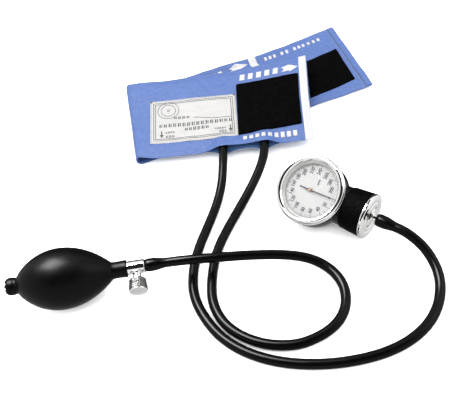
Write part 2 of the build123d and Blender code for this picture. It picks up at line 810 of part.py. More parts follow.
nodes = make_cuff()
in_bulb = {**make_bulb(), **make_inlet_valve(), **make_release_valve()}
nodes.update({name: bulb_plane.location * solid for name, solid in in_bulb.items()})
in_gauge = {**make_case(), **make_front(), **make_cap(), **make_capsule(), **make_movement()}
nodes.update({name: gauge_plane.location * solid for name, solid in in_gauge.items()})
nodes["gauge_hose"] = make_hose("gauge_hose", gauge_hose_route)
nodes["bulb_hose"] = make_hose("bulb_hose", bulb_hose_route)

for name, solid in nodes.items():
    export_step(solid, f"parts/{name}.step")
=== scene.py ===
"""An aneroid sphygmomanometer, dressed around its frame. Shapes are worked out in millimetres."""
import math

import bmesh
import bpy
from mathutils import Matrix, Vector, noise


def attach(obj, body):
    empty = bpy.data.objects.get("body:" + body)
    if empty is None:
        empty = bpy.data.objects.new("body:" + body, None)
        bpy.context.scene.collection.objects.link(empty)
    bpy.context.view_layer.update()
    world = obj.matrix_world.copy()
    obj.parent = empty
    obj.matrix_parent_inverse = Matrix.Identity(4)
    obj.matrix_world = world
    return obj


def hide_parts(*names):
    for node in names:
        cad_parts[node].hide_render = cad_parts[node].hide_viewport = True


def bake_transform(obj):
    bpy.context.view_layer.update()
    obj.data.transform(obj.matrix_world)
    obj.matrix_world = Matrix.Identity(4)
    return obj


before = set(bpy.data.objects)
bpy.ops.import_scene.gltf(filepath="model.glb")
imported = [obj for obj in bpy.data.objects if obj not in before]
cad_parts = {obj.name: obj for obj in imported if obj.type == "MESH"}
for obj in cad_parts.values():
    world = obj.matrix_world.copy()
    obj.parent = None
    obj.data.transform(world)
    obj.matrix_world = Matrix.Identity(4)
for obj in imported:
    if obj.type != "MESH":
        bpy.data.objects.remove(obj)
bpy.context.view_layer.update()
MM = 0.001


# Directions and places, as the solids have them
def heading(degrees, pitch=0.0):
    """The unit direction at an angle from +X and an angle above the table."""
    turn = math.radians(degrees)
    rise = math.radians(pitch)
    return Vector((math.cos(rise) * math.cos(turn), math.cos(rise) * math.sin(turn), math.sin(rise)))


def placed(origin, along, up):
    """The matrix of a local frame, in millimetres."""
    matrix = Matrix((along, up.cross(along), up)).transposed().to_4x4()
    matrix.translation = Vector(origin)
    return matrix


fold_middle = (-60.3, 57.0)
front_along = heading(-8.5, 2.7)
front_frame = placed((*fold_middle, 6.0), front_along, front_along.cross(heading(81.5)))
tail_frame = placed((*fold_middle, 0.0), heading(11.5), Vector((0, 0, 1)))
fold_out = heading(181.5)
fold_line = heading(91.5)
fold_skew = math.tan(math.radians(10.0))
bulb_along = heading(-1.5, -3.0)
bulb_frame = placed((-132.0, -134.3, 25.0), bulb_along, bulb_along.cross(heading(88.5)))
port_frame = bulb_frame @ Matrix.Translation((60.6, 0, 0)) @ Matrix.Rotation(math.radians(100), 4, "X")
port_neck_frame = port_frame @ Matrix.Rotation(math.radians(-90), 4, "Y")
barrel_along = heading(-44.5, -1.0)
barrel_up = barrel_along.cross(heading(45.5))
roll = math.radians(33.0)
dial_normal = barrel_up * math.cos(roll) - heading(45.5) * math.sin(roll)
gauge_frame = placed((77.7, -105.8, 36.95), barrel_along, dial_normal)


def add_object(name, data):
    made = bpy.data.objects.new(name, data)
    bpy.context.scene.collection.objects.link(made)
    return made


# Camera
def add_camera():
    """The photograph's view: 47 degrees above the table, rolled by 12 degrees."""
    target = Matrix.Translation((0.009, -0.064, 0))
    tilt = Matrix.Rotation(math.radians(90 - 47), 4, "X")
    roll = Matrix.Rotation(math.radians(-12), 4, "Z")
    back = Matrix.Translation((0, 0, 0.65))
    data = bpy.data.cameras.new("camera")
    data.lens = 58.4
    data.sensor_width = 36.0
    data.clip_start = 0.01
    camera = add_object("camera", data)
    camera.matrix_world = target @ tilt @ roll @ back
    bpy.context.scene.camera = camera


add_camera()


# Hoses
GAUGE_HOSE = [
    (17.7, -7.4, 11.4), (16.1, -18.3, 11.4), (13.5, -32.1, 10.2), (9.5, -49.9, 7.4), (2.0, -70.0, 4.8),
    (-9.0, -92.0, 4.0), (-21.0, -115.0, 4.0), (-29.0, -139.0, 4.0), (-31.5, -163.0, 4.0),
    (-25.0, -187.5, 4.0), (-12.5, -210.5, 4.0), (9.0, -229.5, 4.0), (37.0, -242.0, 4.0),
    (69.0, -248.0, 4.0), (102.0, -247.0, 4.0), (129.0, -237.0, 4.0), (148.0, -219.0, 4.0),
    (158.0, -195.0, 6.0), (155.0, -172.0, 12.0), (144.5, -156.5, 18.0), (134.6, -146.3, 18.6),
    (125.3, -137.0, 18.8),
]
BULB_HOSE = [
    (56.0, -12.0, 12.2), (54.4, -23.0, 12.2), (49.3, -37.9, 11.4), (38.6, -55.9, 8.4), (24.0, -76.0, 5.4),
    (8.0, -98.0, 4.0), (-6.5, -122.0, 4.0), (-14.5, -148.0, 4.0), (-18.0, -174.0, 4.0),
    (-10.0, -198.5, 4.0), (10.5, -217.5, 4.0), (36.0, -226.0, 4.0), (57.8, -222.5, 4.0),
    (74.0, -213.5, 4.0), (83.5, -199.0, 4.0), (85.8, -181.0, 4.5), (79.0, -164.5, 6.0),
    (65.5, -153.0, 9.0), (46.5, -147.0, 12.0), (24.0, -144.0, 15.5), (0.0, -142.3, 19.0),
    (-29.0, -139.5, 21.5), (-48.6, -136.5, 20.6), (-64.6, -136.1, 21.5),
]
HOSE_RADIUS = 4.0


def route_curve(name, route, bevel):
    """A smooth curve that follows a route's points."""
    curve = bpy.data.curves.new(name, "CURVE")
    curve.dimensions = "3D"
    curve.resolution_u = 12
    curve.bevel_depth = bevel * MM
    curve.bevel_resolution = 8
    spline = curve.splines.new("NURBS")
    spline.points.add(len(route) - 1)
    for point, place in zip(spline.points, route):
        point.co = (*(Vector(place) * MM), 1.0)
    spline.order_u = 3
    spline.use_endpoint_u = True
    return add_object(name, curve)


def route_points(route):
    """The points of the route's smooth line, in millimetres."""
    probe = route_curve("probe", route, 0.0)
    bpy.context.view_layer.update()
    mesh = bpy.data.meshes.new_from_object(probe)
    points = [vertex.co / MM for vertex in mesh.vertices]
    bpy.data.objects.remove(probe)
    bpy.data.meshes.remove(mesh)
    return points


# Meshes
def add_mesh(name, points, faces, material, smooth=True):
    """An object from points in millimetres."""
    mesh = bpy.data.meshes.new(name)
    mesh.from_pydata([Vector(point) * MM for point in points], [], faces)
    mesh.update()
    mesh.materials.append(material)
    form = bmesh.new()
    form.from_mesh(mesh)
    bmesh.ops.recalc_face_normals(form, faces=form.faces)
    form.to_mesh(mesh)
    form.free()
    if smooth:
        mesh.shade_smooth()
    return add_object(name, mesh)


def grid_faces(count_u, count_v, close_u=False, close_v=False, first=0):
    """Faces between the points of a grid that is stored row by row."""
    faces = []
    for u in range(count_u if close_u else count_u - 1):
        row = first + u * count_v
        next_row = first + (u + 1) % count_u * count_v
        for v in range(count_v if close_v else count_v - 1):
            next_v = (v + 1) % count_v
            faces.append((row + v, next_row + v, next_row + next_v, row + next_v))
    return faces


def turned(along, radius, turn):
    """A place round the X axis."""
    return Vector((along, radius * math.cos(turn), radius * math.sin(turn)))


def closed_mesh(name, top, base, counts, material):
    """A closed form from two grids of points that share an outline."""
    count_a, count_b = counts
    count = count_a * count_b
    faces = grid_faces(count_a, count_b)
    faces += [tuple(count + index for index in reversed(face)) for face in grid_faces(count_a, count_b)]
    border = [i * count_b for i in range(count_a)]
    border += range(count - count_b + 1, count)
    border += [i * count_b + count_b - 1 for i in range(count_a - 2, -1, -1)]
    border += range(count_b - 2, 0, -1)
    for here, after in zip(border, border[1:] + border[:1]):
        faces.append((here, after, count + after, count + here))
    return add_mesh(name, top + base, faces, material)


def lathe(name, profile, matrix, material, count=96, close=False, axis="X", relief=None, smooth=True):
    """A turned piece. The profile's corners are (along, radius) or (along, radius, share of relief)."""
    points = []
    for along, radius, *share in profile:
        for step in range(count):
            out = radius + share[0] * relief(along, step) if relief else radius
            place = turned(along, out, 2 * math.pi * step / count)
            points.append(matrix @ (place if axis == "X" else place.yzx))
    faces = grid_faces(len(profile), count, close_u=close, close_v=True)
    return add_mesh(name, points, faces, material, smooth)


def tube_along(name, line, radii, material):
    """A solid of changing thickness along a line, closed at its ends."""
    count = 32
    points = []
    for index, place in enumerate(line):
        before = line[max(index - 1, 0)]
        after = line[min(index + 1, len(line) - 1)]
        ahead = (after - before).normalized()
        side = ahead.cross(Vector((0, 0, 1))).normalized()
        lift = side.cross(ahead)
        for step in range(count):
            turn = 2 * math.pi * step / count
            points.append(place + (side * math.cos(turn) + lift * math.sin(turn)) * radii[index])
    faces = grid_faces(len(line), count, close_v=True)
    faces.append(tuple(range(count)))
    last = (len(line) - 1) * count
    faces.append(tuple(range(last, last + count)))
    return add_mesh(name, points, faces, material)


def rounded(corners, radius):
    """A closed profile with rounded corners."""
    largest_share = 0.45
    made = [corners[0]]
    for before, here, after in zip(corners, corners[1:], corners[2:] + corners[:1]):
        corner = Vector(here)
        back = Vector(before) - corner
        ahead = Vector(after) - corner
        reach = min(radius, back.length * largest_share, ahead.length * largest_share)
        start = corner + back.normalized() * reach
        stop = corner + ahead.normalized() * reach
        for share in (0, 0.25, 0.5, 0.75, 1):
            made.append(start * (1 - share) ** 2 + corner * 2 * share * (1 - share) + stop * share**2)
    return made + corners[:1]


def smooth(value):
    """A soft step from 0 to 1."""
    value = min(max(value, 0.0), 1.0)
    return value * value * (3 - 2 * value)


def mix(low, high, share):
    return low + (high - low) * share


def spaced(start, stop, count):
    return [mix(start, stop, index / (count - 1)) for index in range(count)]


def ripple(a, b, size, seed):
    """Smooth noise from about -1 to 1, with bumps of one size."""
    return noise.noise(Vector((a / size, b / size, seed)))


def thicken(made, thickness, offset=0.0):
    """Give a sheet its thickness in millimetres."""
    solid = made.modifiers.new("thickness", "SOLIDIFY")
    solid.thickness = thickness * MM
    solid.offset = offset


def refine(made, levels, render_levels):
    """Smooth a mesh by dividing its faces."""
    finer = made.modifiers.new("finer", "SUBSURF")
    finer.levels = levels
    finer.render_levels = render_levels


def settle(piece, slot, *nodes, body="root"):
    """Give a piece its body and hide the solids it stands for. The slot is not used."""
    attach(piece, body)
    if nodes:
        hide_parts(*nodes)


def cushion(low, high, counts, edge):
    """Places in a rectangle, with a fullness that falls to 0 at its edge."""
    for a in spaced(low[0], high[0], counts[0]):
        for b in spaced(low[1], high[1], counts[1]):
            inside = min(a - low[0], high[0] - a, b - low[1], high[1] - b)
            yield a, b, math.sqrt(max(1 - (1 - min(inside / edge, 1.0)) ** 2, 0.0))


# Materials
def shader_of(material):
    return material.node_tree.nodes["Principled BSDF"]


def set_values(node, values):
    """Set values by socket name, with an underscore for a space."""
    for socket, value in values.items():
        node.inputs[socket.replace("_", " ")].default_value = value


def add_node(owner, kind, **values):
    node = owner.node_tree.nodes.new("ShaderNode" + kind)
    set_values(node, values)
    return node


def link(owner, source, target):
    owner.node_tree.links.new(source, target)


def new_material(name, color, roughness, **uniform):
    """A material with its even values on the shader's own sockets."""
    material = bpy.data.materials.new(name)
    material.use_nodes = True
    set_values(shader_of(material), dict(Base_Color=(*color, 1.0), Roughness=roughness, **uniform))
    return material


def coordinates(material, stretch=(1, 1, 1), turn=0.0):
    """Object coordinates, stretched and turned about Z."""
    source = add_node(material, "TexCoord")
    mapping = add_node(material, "Mapping", Scale=stretch, Rotation=(0, 0, math.radians(turn)))
    link(material, source.outputs["Object"], mapping.inputs["Vector"])
    return mapping.outputs["Vector"]


def noise_node(material, scale, detail=2.0, stretch=(1, 1, 1), turn=0.0):
    """A noise pattern, with its scale in bumps per metre."""
    texture = add_node(material, "TexNoise", Scale=scale, Detail=detail)
    link(material, coordinates(material, stretch, turn), texture.inputs["Vector"])
    return texture.outputs["Fac"]


def wave_node(material, scale, turn):
    """Straight bands, with their scale in bands per metre."""
    texture = add_node(material, "TexWave", Scale=scale)
    link(material, coordinates(material, turn=turn), texture.inputs["Vector"])
    return texture.outputs["Fac"]


def spread(owner, source, low, high, start=0.3, stop=0.7, kind="LINEAR"):
    """A pattern's values stretched to a range."""
    node = add_node(owner, "MapRange", From_Min=start, From_Max=stop, To_Min=low, To_Max=high)
    node.interpolation_type = kind
    link(owner, source, node.inputs["Value"])
    return node.outputs["Result"]


def tint(material, source, dark, light):
    """Colour that runs between two shades with a pattern."""
    ramp = add_node(material, "ValToRGB")
    for element, position, color in zip(ramp.color_ramp.elements, (0.3, 0.7), (dark, light)):
        element.position = position
        element.color = (*color, 1.0)
    link(material, source, ramp.inputs["Fac"])
    link(material, ramp.outputs["Color"], shader_of(material).inputs["Base Color"])


def rough(material, source, low, high):
    link(material, spread(material, source, low, high), shader_of(material).inputs["Roughness"])


def bump(material, *layers):
    """Layers of relief, each a pattern and its depth in millimetres."""
    normal = None
    for source, depth in layers:
        node = add_node(material, "Bump", Strength=1.0, Distance=depth * MM)
        link(material, source, node.inputs["Height"])
        if normal is not None:
            link(material, normal, node.inputs["Normal"])
        normal = node.outputs["Normal"]
    link(material, normal, shader_of(material).inputs["Normal"])


def shades(color, spread_by):
    """A darker and a lighter shade of a colour."""
    return [tuple(channel * factor for channel in color) for factor in (1 - spread_by, 1 + spread_by)]


def make_nylon(name, color, sheen=0.06):
    """Thin woven nylon with a fine crinkle."""
    cloth = new_material(name, color, 0.5, Sheen_Weight=sheen, Sheen_Roughness=0.4,
                         Sheen_Tint=(0.75, 0.7, 1.0, 1.0), Specular_IOR_Level=0.12)
    tint(cloth, noise_node(cloth, 320, 6.0), *shades(color, 0.09))
    rough(cloth, noise_node(cloth, 260, 3.0), 0.4, 0.62)
    bump(cloth, (noise_node(cloth, 140, 5.0, stretch=(1, 1.5, 1)), 1.1),
         (noise_node(cloth, 620, 3.0), 0.22),
         (wave_node(cloth, 900, turn=-8.5), 0.03), (wave_node(cloth, 900, turn=81.5), 0.03))
    return cloth


def make_rubber(name, color, low, high, specular, depth=0.02):
    """Smooth black rubber, slightly uneven in its gloss."""
    rubber = new_material(name, color, low, Specular_IOR_Level=specular)
    tint(rubber, noise_node(rubber, 60, 3.0), *shades(color, 0.15))
    rough(rubber, noise_node(rubber, 140, 4.0), low, high)
    bump(rubber, (noise_node(rubber, 420, 2.0), depth))
    return rubber


def make_metal(name, color, low, high):
    """Plated or polished metal with fine unevenness."""
    metal = new_material(name, color, low, Metallic=1.0)
    tint(metal, noise_node(metal, 35, 2.0), *shades(color, 0.03))
    rough(metal, noise_node(metal, 300, 4.0), low, high)
    bump(metal, (noise_node(metal, 500, 2.0), 0.004))
    return metal


def make_pile(name, turn):
    """Black pile or hook tape in fine rows."""
    black = (0.0009, 0.0009, 0.001)
    pile = new_material(name, black, 0.95, Specular_IOR_Level=0.01)
    tint(pile, noise_node(pile, 900, 3.0, stretch=(0.25, 1, 1), turn=turn), *shades(black, 0.7))
    bump(pile, (noise_node(pile, 700, 3.0, stretch=(0.3, 1, 1), turn=turn), 0.3),
         (noise_node(pile, 1400, 3.0), 0.25))
    return pile


def make_plain(name, color, low, high, depth=0.01, scale=400, **uniform):
    """Paint, print or paper: a small variation in shade and gloss."""
    plain = new_material(name, color, low, **uniform)
    tint(plain, noise_node(plain, 80, 3.0), *shades(color, 0.03))
    rough(plain, noise_node(plain, scale, 3.0), low, high)
    bump(plain, (noise_node(plain, scale, 3.0), depth))
    return plain


nylon = make_nylon("blue_nylon", (0.045, 0.082, 0.214))
# The lining's nylon is a lighter copy of the outer nylon: painted light that offsets the shade it lies in
# under the front sheet
nylon_inside_lit = make_nylon("blue_nylon_inside", (0.05, 0.1, 0.22), sheen=0.03)
thread_blue = make_plain("blue_thread", (0.07, 0.11, 0.25), 0.6, 0.8)
# Dark blue for the painted shade in the groove of the tail hem's seam
seam_shade = make_plain("seam_shade", (0.02, 0.032, 0.08), 0.7, 0.85)
white_print = make_plain("white_print", (0.29, 0.29, 0.298), 0.5, 0.65, depth=0.05, scale=300)
label_cloth = make_plain("label_cloth", (0.228, 0.225, 0.222), 0.6, 0.75, depth=0.08, scale=420)
label_ink = make_plain("label_ink", (0.014, 0.014, 0.015), 0.6, 0.75)
loop_pile = make_pile("loop_pile", 8.5)
hook_pile = make_pile("hook_pile", -11.5)
hose_rubber = make_rubber("hose_rubber", (0.0008, 0.0008, 0.0008), 0.16, 0.24, 0.1, depth=0.008)
bulb_rubber = make_rubber("bulb_rubber", (0.0006, 0.0006, 0.0006), 0.3, 0.38, 0.09)
chrome = make_metal("chrome", (0.86, 0.86, 0.85), 0.04, 0.08)
steel = make_metal("steel", (0.55, 0.56, 0.57), 0.18, 0.3)
brass = make_metal("brass", (0.72, 0.52, 0.22), 0.2, 0.34)
bronze = make_metal("spring_bronze", (0.6, 0.4, 0.2), 0.25, 0.4)
# Chrome darkened for the knurled bands: painted shade for the grooves between their ridges
knurl_shaded_metal = make_metal("knurl_shaded_metal", (0.2, 0.2, 0.197), 0.12, 0.2)
copper = make_metal("copper", (0.14, 0.078, 0.054), 0.34, 0.46)
case_paint = make_plain("case_paint", (0.002, 0.002, 0.0022), 0.16, 0.26, depth=0.01, scale=250,
                        Specular_IOR_Level=0.15)
dial_paint = make_plain("dial_paint", (0.205, 0.205, 0.202), 0.4, 0.5)
# Lighter than the dial's paint, to offset the shade on the chapter ring's inner wall: painted light
ring_paint_lit = make_plain("ring_paint_lit", (0.36, 0.36, 0.352), 0.35, 0.45)
dial_ink = make_plain("dial_ink", (0.008, 0.008, 0.009), 0.4, 0.5)
pointer_paint = make_plain("pointer_paint", (0.004, 0.004, 0.004), 0.3, 0.4)


def make_grain():
    """Black cover with a grain like leather."""
    grain = new_material("grained_cover", (0.001, 0.001, 0.001), 0.5, Specular_IOR_Level=0.012)
    cells = add_node(grain, "TexVoronoi", Scale=900)
    cells.feature = "DISTANCE_TO_EDGE"
    link(grain, coordinates(grain), cells.inputs["Vector"])
    tint(grain, noise_node(grain, 500, 3.0), (0.0003, 0.0003, 0.0004), (0.0014, 0.0014, 0.0016))
    rough(grain, noise_node(grain, 700, 4.0), 0.38, 0.62)
    bump(grain, (spread(grain, cells.outputs["Distance"], 0, 1, 0.0, 0.25), 0.12),
         (noise_node(grain, 350, 3.0), 0.35))
    return grain


def make_glass():
    """A clear window."""
    glass = new_material("lens_glass", (0.97, 0.98, 0.98), 0.02, IOR=1.45, Transmission_Weight=1.0,
                         Alpha=0.12)
    rough(glass, noise_node(glass, 120, 2.0), 0.01, 0.05)
    return glass


grain_cover = make_grain()
lens_glass = make_glass()

NODE_MATERIALS = (
    (steel, ("hairspring_stud", "inlet_ball", "inlet_cage", "outlet_ball", "outlet_cage", "pinion_arbor",
             "plate_screws", "push_rod", "rocker_shaft", "valve_needle")),
    (brass, ("front_plate", "plate_feet", "plate_posts", "rear_plate", "sector_gear")),
    (bronze, ("hairspring", "pressure_capsule")), (copper, ("pointer_hub",)),
    (chrome, ("valve_gland",)), (bulb_rubber, ("gland_seal",)), (lens_glass, ("lens",)),
    (case_paint, ("gauge_case",)), (ring_paint_lit, ("chapter_ring",)), (dial_paint, ("dial",)),
)
for material, names in NODE_MATERIALS:
    for name in names:
        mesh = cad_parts[name].data
        mesh.materials.clear()
        mesh.materials.append(material)


# Hoses, with ends that swell over their fittings
def add_hose(name, route):
    """A hose with an end that swells over its fitting."""
    sleeve_length = 18.0
    inset = 0.05
    swell = 1.4
    swell_full = 6.0
    swell_fade = 11.5
    rim = 0.5
    hose = route_curve(name + "_rubber", route, HOSE_RADIUS)
    hose.data.materials.append(hose_rubber)
    line = route_points(route)
    end = [place for place in line if (place - line[-1]).length < sleeve_length]
    radii = []
    for place in end:
        share = smooth(((place - line[-1]).length - swell_full) / swell_fade)
        radii.append(HOSE_RADIUS - inset + swell * (1 - share))
    radii[-1] -= rim
    sleeve = tube_along(name + "_end", end, radii, hose_rubber)
    settle(hose, "black_hose", name)
    settle(sleeve, "black_hose")


add_hose("gauge_hose", GAUGE_HOSE)
add_hose("bulb_hose", BULB_HOSE)


# Cuff cloth
HALF_WIDTH = 56.0
FRONT_LENGTH = 171.0
TAIL_LENGTH = 233.0
CLOTH = 0.7
LINING = 0.6
TAIL_CLOTH = 1.3
RING_RADIUS = 4.75
RING_MIDDLE = 5.6
SAG = 1.6
NECKS = (87.5, 125.8)
SEAM_TURN = math.radians(28.0)


def slit(a):
    """Where along the lower edge the two sheets part for the hoses."""
    opens = smooth((a - 64.0) / 22.0)
    closes = smooth((a - 128.0) / 16.0)
    return opens * (1 - closes)


def hug(a):
    """How close a place along the lower edge is to one of the hoses."""
    reach = 9.0
    return max(math.exp(-((a - neck) / reach) ** 2) for neck in NECKS)


def end_twist(a, b):
    """How far the free end's upper corner lifts and the middle sags."""
    share = max(a, 0.0) / FRONT_LENGTH
    corner_rise = 0.8 + 5.2 * b / HALF_WIDTH
    return share**1.7 * corner_rise - SAG * math.sin(math.pi * min(share, 1.0))


def near_fold(a, b):
    """How the cloth near the fold stands out and is drawn in below."""
    reach = 26.0
    drawn_in = 0.06
    share = 1 - smooth(max(a, 0.0) / reach)
    lower = (1 - b / HALF_WIDTH) / 2
    out = fold_out * (share * mix(1.0, 1.6, lower))
    return out - fold_line * (share * min(b, 0.0) * drawn_in)


def upper_lift(a, b, reach):
    """How the upper corner at the fold stands off the table."""
    rise = 2.8
    fade = 50.0
    share = 1 - smooth((a - reach) / fade)
    return Vector((0, 0, rise * share * smooth(b / HALF_WIDTH)))


def front_sheet_height(a, b):
    """The outer sheet's height over the front section's underside."""
    from_top = HALF_WIDTH - b
    from_bottom = HALF_WIDTH + b
    from_end = FRONT_LENGTH - a
    near_start = 1 - smooth(a / 30.0)
    crown = math.sin(math.pi * min(max(a / FRONT_LENGTH, 0), 1)) * math.cos(b / HALF_WIDTH * 1.4)
    body = 4.5 + 0.7 * crown
    body += 0.55 * ripple(a, b, 34.0, 3.0) + 0.35 * ripple(a, b * 1.4, 12.0, 8.0)
    body += 0.14 * ripple(a, b, 4.5, 31.0)
    near_edge = 1 - smooth(min(from_top, from_bottom, from_end) / 16.0)
    body += near_edge * (0.45 * ripple(a * 1.5, b * 0.8, 9.0, 21.0) + 0.2 * ripple(a, b, 3.5, 23.0))
    open_share = slit(a)
    lower_edge = 2.3 + 2.4 * near_start + (5.6 + 1.4 * hug(a)) * open_share
    lower_reach = 12.0 + (7.0 + 6.0 * hug(a)) * open_share
    upper_edge = mix(2.0, 4.4, near_start)
    upper_reach = 11.0
    height = mix(lower_edge, body, smooth(from_bottom / lower_reach))
    height = mix(upper_edge, height, smooth(from_top / upper_reach))
    end_height = 1.9 + 1.0 * smooth(1 - from_bottom / 30)
    end_reach = 11.0
    return mix(end_height, height, smooth((from_end + 1.0) / end_reach))


def front_section(a, b, local):
    """A local place of the front section, moved by all that its sheets share."""
    point = front_frame @ Vector(local) + near_fold(a, b) + upper_lift(a, b, 55.0)
    point.z += end_twist(a, b)
    return point


def front_sheet(a, b):
    """A point on the middle of the outer sheet, in millimetres."""
    drawn = 1.8 * smooth((a - 110.0) / 60.0) * max(b, 0.0) / HALF_WIDTH
    return front_section(a, b, (a + drawn, b, front_sheet_height(a, b)))


def lining_sheet(a, b):
    """A point on the middle of the lining."""
    lifted = 1 - smooth(a / 34.0)
    from_bottom = HALF_WIDTH + b
    height = mix(0.45, 3.55, lifted) + 0.25 * ripple(a, b, 26.0, 40.0) * (1 - lifted)
    sag = (1.6 - 3.6 * hug(a)) * slit(a) * (1 - smooth(from_bottom / 26.0))
    drawn = 3.0 * (1 - slit(a)) * smooth((-b - 26.0) / 30.0)
    return front_section(a, b, (a, b + drawn, height + sag))


def over(surface, a, b, lift):
    """A point a little above a sheet's middle, along its normal."""
    step = 0.5
    along = surface(a + step, b) - surface(a - step, b)
    across = surface(a, b + step) - surface(a, b - step)
    return surface(a, b) + along.cross(across).normalized() * lift


def ring_point(b, turn, radius):
    """A point on the fold, by its angle from the top."""
    place = Vector((*fold_middle, RING_MIDDLE)) + fold_line * (b / math.cos(math.radians(10.0)))
    place += near_fold(0, b) + upper_lift(0, b, 0.0)
    return place + fold_out * (radius * math.sin(turn)) + Vector((0, 0, radius * math.cos(turn)))


def tail_line(a):
    """How far the tail's middle line strays sideways, and its turn."""
    share = min(max((a - 40.0) / 190.0, 0.0), 1.0)
    return -3.9 * share**1.8, math.radians(-4.2) * smooth(share)


def tail_sheet(a, b):
    """A point on the middle of the tail's cloth."""
    stray, turn = tail_line(a)
    upper = smooth(b / HALF_WIDTH) * smooth(a / 40.0)
    width = b * (1 - 0.16 * upper * (1 - 0.55 * smooth((a - 150.0) / 70.0)))
    settled = smooth(a / 20.0)
    crumple = settled * upper * (1 - smooth((a - 150.0) / 60.0))
    height = 0.75 + crumple * (1.3 + 1.5 * math.sin(b * 0.33 + 0.03 * a + 1.2 * ripple(a, 0, 30.0, 5.0)))
    height += settled * (0.9 + 0.9 * ripple(a, b * 1.3, 24.0, 12.0)) * 0.8
    height += settled * 0.35 * (ripple(a, b, 9.0, 16.0) + 0.4)
    end = smooth((a - 195.0) / 38.0)
    height += end * (0.6 + 1.1 * (1 + ripple(0, b, 22.0, 33.0)))
    local = Vector((a - width * math.sin(turn), stray + width * math.cos(turn), max(height, 0.75)))
    return tail_frame @ local + near_fold(a, b) + upper_lift(a, b, 0.0)


def sheet_mesh(name, rows, material, thickness):
    """A cloth sheet from rows of points."""
    points = [point for row in rows for point in row]
    made = add_mesh(name, points, grid_faces(len(rows), len(rows[0])), material)
    thicken(made, thickness)
    refine(made, 1, 1)
    return made


across = spaced(-HALF_WIDTH, HALF_WIDTH, 65)


def sheet_rows(surface, start, skew, length, shares):
    """Rows of points from a start that runs askew to the free end."""
    return [[surface(mix(start + b * skew, length, share), b) for b in across] for share in shares]


def fold_rows(turns, radius):
    return [[ring_point(b, turn, radius) for b in across] for turn in turns]


def add_front():
    """The outer sheet of the front section and its lining."""
    rows = sheet_rows(front_sheet, 0.0, -fold_skew, FRONT_LENGTH, spaced(1.0, 0.0, 96))
    outer_radius = RING_RADIUS + (TAIL_CLOTH - CLOTH) / 2 + 0.05
    rows += fold_rows((SEAM_TURN * 0.5, SEAM_TURN), outer_radius)
    cover = sheet_mesh("cuff_front", rows, nylon, CLOTH)
    rows = sheet_rows(lining_sheet, 3.0, -fold_skew, FRONT_LENGTH, spaced(1.0, 0.0, 70))
    lining = sheet_mesh("cuff_front_lining", rows, nylon_inside_lit, LINING)
    settle(cover, "blue_nylon", "cuff_cover")
    settle(lining, "blue_lining", "cuff_lining")


def add_tail():
    """The fold and the tail in one piece of cloth, which bends at the fold."""
    rows = fold_rows(spaced(SEAM_TURN * 0.7, math.pi, 22), RING_RADIUS - 0.1)
    rows += sheet_rows(tail_sheet, 0.0, fold_skew, TAIL_LENGTH, spaced(0.0, 1.0, 120)[1:])
    tail = sheet_mesh("cuff_tail_cloth", rows, nylon, TAIL_CLOTH)
    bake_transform(tail)
    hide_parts("cuff_fold", "cuff_tail")


def add_bladder():
    """The rubber bag between the sheets, and its two necks."""
    counts = (60, 44)
    clearance = 0.35
    top = []
    base = []
    for a, b, fullness in cushion((27.0, -45.0), (160.0, 45.0), counts, 7.0):
        low = lining_sheet(a, b) + Vector((0, 0, LINING / 2 + clearance))
        high = front_sheet(a, b) - Vector((0, 0, CLOTH / 2 + clearance))
        middle = low.lerp(high, 0.5)
        top.append(middle.lerp(high, 0.1 + 0.9 * fullness))
        base.append(middle.lerp(low, 0.1 + 0.9 * fullness))
    bag = closed_mesh("bladder_bag", top, base, counts, bulb_rubber)
    settle(bag, "bladder_rubber", "cuff_bladder")
    distances = (0.5, 3.0, 6.0, 9.0)
    radii = (4.35, 4.1, 3.8, 3.2)
    droop = Vector((0, 0, 0.09))
    for index, route in enumerate((GAUGE_HOSE, BULB_HOSE)):
        start = Vector(route[0])
        inward = (start - Vector(route[1])).normalized()
        line = [start + inward * distance - droop * distance for distance in distances]
        settle(tube_along("bladder_neck_%d" % index, line, radii, bulb_rubber), "bladder_rubber")


add_front()
add_tail()
add_bladder()


def front_over(a, b, lift):
    return over(front_sheet, a, b, CLOTH / 2 + lift)


def tail_over(a, b, lift):
    return over(tail_sheet, a, b, TAIL_CLOTH / 2 + lift)


def fitted(surface, middle, size, corners):
    """A surface on which a rectangle reaches four given corners."""
    near_up, far_up, far_low, near_low = [Vector(corner) for corner in corners]

    def place(a, b, lift):
        u = (a - middle[0]) / size[0] + 0.5
        v = (b - middle[1]) / size[1] + 0.5
        local = near_low.lerp(far_low, u).lerp(near_up.lerp(far_up, u), v)
        return surface(local.x, local.y, lift)

    return place


def pad(name, surface, middle, size, lift, height, material, counts, edge, relief=None):
    """A flat piece sewn on the cloth, with rounded edges."""
    low = [centre - side / 2 for centre, side in zip(middle, size)]
    high = [centre + side / 2 for centre, side in zip(middle, size)]
    top = []
    base = []
    edge_share = 0.35
    for a, b, fullness in cushion(low, high, counts, edge):
        rise = height * mix(edge_share, 1, fullness)
        if relief:
            rise += relief(a, b) * fullness
        top.append(surface(a, b, lift + rise))
        base.append(surface(a, b, lift))
    return closed_mesh(name, top, base, counts, material)


def decal(name, surface, outline, lift, material, cuts=3):
    """A printed shape that follows the cloth."""
    longest = 1.6
    form = bmesh.new()
    face = form.faces.new([form.verts.new((a, b, 0)) for a, b in outline])
    bmesh.ops.triangulate(form, faces=[face])
    for _ in range(cuts):
        long_edges = [edge for edge in form.edges if edge.calc_length() > longest]
        if not long_edges:
            break
        bmesh.ops.subdivide_edges(form, edges=long_edges, cuts=1, use_grid_fill=True)
        bmesh.ops.triangulate(form, faces=form.faces[:])
    form.verts.ensure_lookup_table()
    points = [surface(vert.co.x, vert.co.y, lift) for vert in form.verts]
    faces = [tuple(vert.index for vert in face.verts) for face in form.faces]
    form.free()
    made = add_mesh(name, points, faces, material)
    thicken(made, 0.08, 1.0)
    return made


